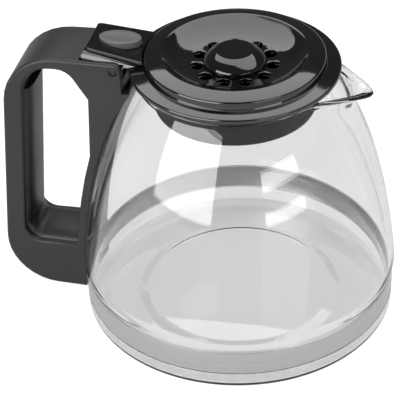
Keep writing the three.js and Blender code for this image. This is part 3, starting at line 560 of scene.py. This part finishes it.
lower = bmesh.ops.duplicate(bm, geom=bm.faces[:])["geom"]
bmesh.ops.translate(bm, verts=verts_of(lower), vec=(0, 0, -LID_WALL * MM))
centre = middle.translation
walls = [
    e for e in bm.edges
    if all((v.co.xy - centre.xy).length < (HOLE_RADIUS + NEAR) * MM for v in e.verts)
]
bmesh.ops.bridge_loops(bm, edges=walls)
bmesh.ops.spin(
    bm, geom=bm.verts[:] + bm.edges[:] + bm.faces[:], cent=AXIS, axis=UP,
    angle=SLICE * (HOLES - 1), steps=HOLES - 1, use_duplicate=True,
)
print("drip ring:", len(bm.faces), "faces in", HOLES, "slices")

# %% [markdown]
# Round the drip ring lie the dish's wall, the raised ring that fits the coffee maker, and the
# flange that covers the jug's rim. Inside it lies the boss that the knob's stem screws through.
# Both are profiles, spun in as many steps as the slices have together, so that all of it merges.

# %% The rest of the lid
RING_RADIUS, RING_Z, RING_DRAFT = 41, 134, 0.5
FLANGE_RADIUS, FLANGE_ROOT_Z, FLANGE_Z, FLANGE_EDGE_Z = 48, 130, 129.4, 127.5
SEAT_RADIUS, COLLAR_ROOM, COLLAR_TOP = 45.4, 39.5, 130.7
BOSS_BORE, BOSS_RADIUS, BOSS_FOOT = 4.3, 7, 118.1
FACE_STEP, FACE_POINTS = 2.1, 5
DISH_ROUND, RING_ROUND, ROOT_ROUND, FLANGE_ROUND, EDGE_ROUND = 0.6, 0.8, 0.3, 0.9, 0.4
BORE_ROUND, BOSS_ROUND = 0.3, 0.4

face_radii = [SLICE_OUTER + FACE_STEP * number for number in range(FACE_POINTS)]
face = [(radius, dish_height(radius)) for radius in face_radii]
ring_and_flange = [
    (DISH_RADIUS, DISH_Z, DISH_ROUND),
    (RING_RADIUS, RING_Z, RING_ROUND),
    (RING_RADIUS + RING_DRAFT, FLANGE_ROOT_Z, ROOT_ROUND),
    (FLANGE_RADIUS, FLANGE_Z, FLANGE_ROUND),
    (FLANGE_RADIUS, FLANGE_EDGE_Z, EDGE_ROUND),
]
underside = [
    (SEAT_RADIUS, SEAT_Z),
    (COLLAR_ROOM, SEAT_Z),
    (COLLAR_ROOM, COLLAR_TOP),
    (RING_RADIUS - LID_WALL, RING_Z - LID_WALL),
    (DISH_RADIUS, DISH_Z - LID_WALL),
]
boss = [
    (SLICE_INNER, FLOOR_Z),
    (BOSS_BORE, FLOOR_Z, BORE_ROUND),
    (BOSS_BORE, BOSS_FOOT),
    (BOSS_RADIUS, BOSS_FOOT, BOSS_ROUND),
    (BOSS_RADIUS, FLOOR_Z - LID_WALL),
    (SLICE_INNER, FLOOR_Z - LID_WALL),
]
rest = bmesh.new()
profile(rest, face + ring_and_flange + underside + [(r, z - LID_WALL) for r, z in face[::-1]])
profile(rest, boss)
spin_round(rest, HOLES * SLICE_STEPS)
print("ring, flange and boss:", len(rest.faces), "faces")

# %% [markdown]
# The two meshes become one, turned so that the first hole is where the photograph shows it.
# Last, the sharp upper and lower lips of the holes are rounded.

# %% The whole lid
LIP_ROUND, LIP_ANGLE, LIP_ROOM = 0.35, 60, 0.1

spun = bpy.data.meshes.new("spun lid")
rest.to_mesh(spun)
rest.free()
bm.from_mesh(spun)
bpy.data.meshes.remove(spun)
bmesh.ops.remove_doubles(bm, verts=bm.verts, dist=NEAR * MM)
first_turn = Matrix.Rotation(FIRST_HOLE - SLICE / 2, 3, "Z")
bmesh.ops.rotate(bm, verts=bm.verts, cent=AXIS, matrix=first_turn)
bmesh.ops.recalc_face_normals(bm, faces=bm.faces)
lips = [
    e for e in bm.edges
    if e.calc_face_angle(0) > math.radians(LIP_ANGLE)
    and abs((e.verts[0].co.xy - AXIS.xy).length / MM - HOLE_RING) < HOLE_RADIUS + LIP_ROOM
]
round_off(bm, lips, LIP_ROUND, segments=3)
print("open edges in the lid:", sum(e.is_boundary for e in bm.edges))
piece("lid_cover_moulded", bm, gloss, "lid", "lid_cover")

# %% [markdown]
# Under the lid a skirt reaches down into the jug's neck. Its four ribs centre the lid.
# They are small triangles in the profile, with their tips rounded as a mould would leave them.
# A floor inside it leads the coffee to a wide hole in the middle. The drip holes look down on it.

# %% Lid skirt
SKIRT_RADIUS, SKIRT_INNER, SKIRT_FOOT, SKIRT_STEPS = 37, 35.5, 108.6, 132
RIBS, RIB_REACH, RIB_HALF, RIB_ROUND = 4, 1.2, 1, 0.4
OUTLET_RADIUS, OUTLET_FLOOR, OUTLET_ROUND, CORNER_ROUND = 15, 1.5, 0.5, 0.8
COLLAR_RADIUS, COLLAR_Z, COLLAR_ROUND = 39.2, 130.1, 0.3

floor_z = SKIRT_FOOT + OUTLET_FLOOR
floor_ring = [
    (SKIRT_INNER, floor_z, CORNER_ROUND),
    (OUTLET_RADIUS, floor_z, OUTLET_ROUND),
    (OUTLET_RADIUS, SKIRT_FOOT, OUTLET_ROUND),
    (SKIRT_RADIUS, SKIRT_FOOT, OUTLET_ROUND),
]
ribs = []
for number in range(1, RIBS + 1):
    z = SKIRT_FOOT + (SEAT_Z - SKIRT_FOOT) / (RIBS + 1) * number
    ribs += [
        (SKIRT_RADIUS, z - RIB_HALF),
        (SKIRT_RADIUS + RIB_REACH, z, RIB_ROUND),
        (SKIRT_RADIUS, z + RIB_HALF),
    ]
collar = [
    (SKIRT_RADIUS, SEAT_Z),
    (COLLAR_RADIUS, SEAT_Z, COLLAR_ROUND),
    (COLLAR_RADIUS, COLLAR_Z, COLLAR_ROUND),
    (SKIRT_INNER, COLLAR_Z, COLLAR_ROUND),
]
bm = bmesh.new()
profile(bm, floor_ring + ribs + collar, closed=True)
spin_round(bm, SKIRT_STEPS)
piece("lid_skirt_moulded", bm, plain, "lid", "lid_skirt")

# %% [markdown]
# The knob in the dish pushes up the coffee maker's drip valve. It is a hollow dome with a flat top
# and a narrow chamfer round it, and a socket inside holds the stem.

# %% Drip knob
KNOB_TOP, KNOB_FOOT, KNOB_RADIUS, KNOB_STEPS = 136, 129.4, 14.3, 96
TOP_RADIUS, TOP_FLAT, TOP_ROUND = 8.8, 7.6, 0.25
DOME_HEAD, DOME_PULL_Z, DOME_FOOT, DOME_POINTS = (10.8, 134.8), 132, 130.8, 14
HOLLOW_RADIUS, HOLLOW_TOP, FOOT_ROUND = 12.5, 133, 0.3
SOCKET_RADIUS, SOCKET_BORE, SOCKET_TOP = 6.1, 4.3, 134.2

top = [(0, KNOB_TOP), (TOP_FLAT, KNOB_TOP), (TOP_RADIUS, KNOB_TOP, TOP_ROUND)]
dome = bezier(DOME_HEAD, (KNOB_RADIUS, DOME_PULL_Z), (KNOB_RADIUS, DOME_FOOT), DOME_POINTS)
hollow = [
    (KNOB_RADIUS, KNOB_FOOT, FOOT_ROUND),
    (HOLLOW_RADIUS, KNOB_FOOT),
    (HOLLOW_RADIUS, DOME_FOOT),
    (TOP_RADIUS, HOLLOW_TOP),
]
socket = [
    (SOCKET_RADIUS, HOLLOW_TOP),
    (SOCKET_RADIUS, KNOB_FOOT),
    (SOCKET_BORE, KNOB_FOOT),
    (SOCKET_BORE, SOCKET_TOP),
    (0, SOCKET_TOP),
]
bm = bmesh.new()
profile(bm, top + dome + hollow + socket)
spin_round(bm, KNOB_STEPS)
piece("drip_knob_moulded", bm, gloss, "knob", "drip_knob")

# %% [markdown]
# The thumb pad is an oval button set into the lever's sloping cap, with a level, slightly
# hollowed top. A disc is stretched to an oval and raised, its edge is bevelled,
# and two insets lower the middle so that the thumb finds it.

# %% Thumb button
PAD_ROOT, PAD_EDGE, PAD_HOLLOW, PAD_BORDER, PAD_STEPS = 2.2, 0.4, 0.15, 1.6, 96
pad_low, pad_high = (Vector(corner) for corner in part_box("thumb_button"))
pad_middle, pad_half = (pad_high + pad_low) / 2, (pad_high - pad_low) / 2
pad_foot = (pad_middle.x, pad_middle.y, pad_low.z + PAD_ROOT * MM)

bm = bmesh.new()
bmesh.ops.create_circle(bm, cap_ends=True, segments=PAD_STEPS, radius=1)
bmesh.ops.scale(bm, verts=bm.verts, vec=(pad_half.x, pad_half.y, 1))
bmesh.ops.translate(bm, verts=bm.verts, vec=pad_foot)
raised = bmesh.ops.extrude_face_region(bm, geom=bm.faces[:])["geom"]
for vert in verts_of(raised):
    vert.co.z = pad_high.z
bmesh.ops.recalc_face_normals(bm, faces=bm.faces)
pad_top = max(bm.faces, key=lambda face: face.calc_center_median().z)
round_off(bm, list(pad_top.edges), PAD_EDGE, segments=5)
pad_top = max(bm.faces, key=lambda face: face.calc_center_median().z)
for share in (0.25, 0.75):
    bmesh.ops.inset_region(
        bm, faces=[pad_top], thickness=PAD_BORDER * MM, depth=-PAD_HOLLOW * MM * share,
        use_even_offset=True,
    )
piece("thumb_button_moulded", bm, etched, "lid", "thumb_button", crease=50)

# %% [markdown]
# The hinge pin's end shows on the handle's cheek, as dark as the handle itself. It is a plain
# cylinder with a broken edge and a small hollow in each end, where the mould's ejector pushed it out.

# %% Hinge pin
PIN_EDGE, PIN_BORDER, MARK_SLOPE, MARK_DEPTH, PIN_STEPS = 0.3, 0.55, 0.35, 0.35, 48
pin_low, pin_high = (Vector(corner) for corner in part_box("hinge_pin"))
pin_radius, pin_length = (pin_high.z - pin_low.z) / 2, pin_high.y - pin_low.y
lying = Matrix.Translation((pin_low + pin_high) / 2) @ Matrix.Rotation(math.radians(90), 4, "X")


def ends_of(bm):
    """The round faces at both ends of a cylinder."""
    return [face for face in bm.faces if len(face.verts) > 4]


bm = bmesh.new()
bmesh.ops.create_cone(
    bm, cap_ends=True, segments=PIN_STEPS, radius1=pin_radius, radius2=pin_radius,
    depth=pin_length, matrix=lying,
)
round_off(bm, [edge for end in ends_of(bm) for edge in end.edges], PIN_EDGE, segments=3)
for end in ends_of(bm):
    for border, depth in ((PIN_BORDER, 0), (MARK_SLOPE, -MARK_DEPTH)):
        bmesh.ops.inset_region(
            bm, faces=[end], thickness=border * MM, depth=depth * MM, use_even_offset=True,
        )
piece("hinge_pin_moulded", bm, satin, "jug", "hinge_pin", crease=30)

# %% [markdown]
# The small fasteners, the stem and its clip keep their solids, whose shapes are right as they are.
# They only need their real finishes.

# %% Finishes of the small solids
FINISHES = {
    "clamp_screw": zinc,
    "clamp_nut": zinc,
    "liner_screw": zinc,
    "lever_screw_left": zinc,
    "lever_screw_right": zinc,
    "knob_stem": satin,
    "stem_clip": strip,
}
for name, material in FINISHES.items():
    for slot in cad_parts[name].material_slots:
        slot.material = material
    print(name, "is", material.name)

# %% [markdown]
# The photograph was taken in a plain studio, and its background is pure white.
# The floor shows white to the camera and keeps a faint shadow: most of its white is light of its
# own, and the rest is a pale surface that the lamps light. Glass and glossy surfaces see it
# a little darker, as the real table was before its picture was cleared to white.

# %% Floor
FLOOR_SIZE, FLOOR_GAP = 6, 0.05
FLOOR_GLOW, THROUGH_GLASS = 0.85, 0.55
WHITE = linear("#ffffff")

bm = bmesh.new()
bmesh.ops.create_grid(bm, x_segments=1, y_segments=1, size=FLOOR_SIZE / 2)
bmesh.ops.translate(bm, verts=bm.verts, vec=(0, 0, -FLOOR_GAP * MM))
floor_mesh = bpy.data.meshes.new("floor")
bm.to_mesh(floor_mesh)
bm.free()
floor = bpy.data.objects.new("floor", floor_mesh)
bpy.context.collection.objects.link(floor)

paper, tree, shader = shader_of("studio_paper_white", {
    "Base Color": linear("#8f8f8f"),
    "Roughness": 1,
    "Specular IOR Level": 0,
    "Emission Color": WHITE,
})
rays = add(tree, "ShaderNodeLightPath").outputs
mirrored = add(
    tree, "ShaderNodeMath", {0: rays["Is Glossy Ray"], 1: rays["Is Transmission Ray"]},
    operation="MAXIMUM",
)
dimmed = add(
    tree, "ShaderNodeMath", {0: mirrored.outputs[0]}, {1: THROUGH_GLASS}, operation="MULTIPLY",
)
seen = add(
    tree, "ShaderNodeMath", {0: rays["Is Camera Ray"], 1: dimmed.outputs[0]}, operation="MAXIMUM",
)
glow = add(tree, "ShaderNodeMath", {0: seen.outputs[0]}, {1: FLOOR_GLOW}, operation="MULTIPLY")
attach(tree, shader, {"Emission Strength": glow.outputs[0]})
floor_mesh.materials.append(paper)
print("floor", FLOOR_SIZE, "m across")

# %% [markdown]
# The world gives the soft light that fills a studio. Seen directly or through glass it is white.
# In glossy surfaces it is pale only near the horizon. Higher up it is dark, as a studio's walls are,
# so that the black lid stays black between the reflections of the lamps.

# %% World
FILL, HORIZON, CEILING, HORIZON_HEIGHT = 0.25, 0.7, 0.09, 0.1

world = bpy.data.worlds.new("studio")
bpy.context.scene.world = world
world.use_nodes = True
tree = world.node_tree
tree.nodes.clear()
rays = add(tree, "ShaderNodeLightPath").outputs
place = add(tree, "ShaderNodeTexCoord")
direction = add(tree, "ShaderNodeSeparateXYZ", {"Vector": place.outputs["Generated"]})
surround = add(
    tree, "ShaderNodeMapRange", {"Value": direction.outputs["Z"]},
    {"From Max": HORIZON_HEIGHT, "To Min": HORIZON, "To Max": CEILING},
)
glossy = add(
    tree, "ShaderNodeMix", {"Factor": rays["Is Glossy Ray"], "B": surround.outputs["Result"]},
    {"A": FILL},
)
clear = add(
    tree, "ShaderNodeMath", {0: rays["Is Camera Ray"], 1: rays["Is Transmission Ray"]},
    operation="MAXIMUM",
)
strength = add(
    tree, "ShaderNodeMix", {"Factor": clear.outputs[0], "A": glossy.outputs["Result"]}, {"B": 1},
)
background = add(
    tree, "ShaderNodeBackground", {"Strength": strength.outputs["Result"]}, {"Color": WHITE},
)
add(tree, "ShaderNodeOutputWorld", {"Surface": background.outputs["Background"]})
print("world fill", FILL)

# %% [markdown]
# Softboxes light the carafe. The widest is an oval overhead and a little behind, and lies as
# a pale grey over the lid. The others are plain rectangles. One at the front left is the white
# column on the glass. Two small panes at the front right are the window beside the strap.
# Each is placed by the direction in which the carafe sees it, and its power follows from
# its brightness, because a panel of a given brightness needs more watts the larger it is.

# %% Softboxes
TARGET_Z = 0.1
TARGET = AXIS + UP * TARGET_Z
FILLED = {"ELLIPSE": math.pi / 4, "RECTANGLE": 1}
# Name, shape, azimuth and elevation in degrees, distance and size in m, brightness
LAMPS = (
    ("overhead", "ELLIPSE", 14, 75, 1.15, (2.9, 1.55), 2.4),
    ("front left", "RECTANGLE", -148, 17, 1.05, (1.0, 0.75), 5.5),
    ("pane above", "RECTANGLE", 131, 13, 1.2, (0.7, 0.16), 6),
    ("pane below", "RECTANGLE", 131, -1, 1.2, (0.7, 0.09), 5),
)
for name, shape, azimuth, elevation, distance, size, bright in LAMPS:
    data = bpy.data.lights.new(name, "AREA")
    data.shape = shape
    data.size, data.size_y = size
    data.energy = math.pi * bright * data.size * data.size_y * FILLED[shape]
    around, above = math.radians(azimuth), math.radians(elevation)
    level = Vector((math.sin(around), math.cos(around), 0))
    towards = level * math.cos(above) + UP * math.sin(above)
    facing = towards.to_track_quat("Z", "Y").to_matrix().to_4x4()
    made = bpy.data.objects.new(name, data)
    made.matrix_world = Matrix.Translation(TARGET + towards * distance) @ facing
    bpy.context.collection.objects.link(made)
    print(name, "softbox", size, "m,", round(data.energy, 1), "W")
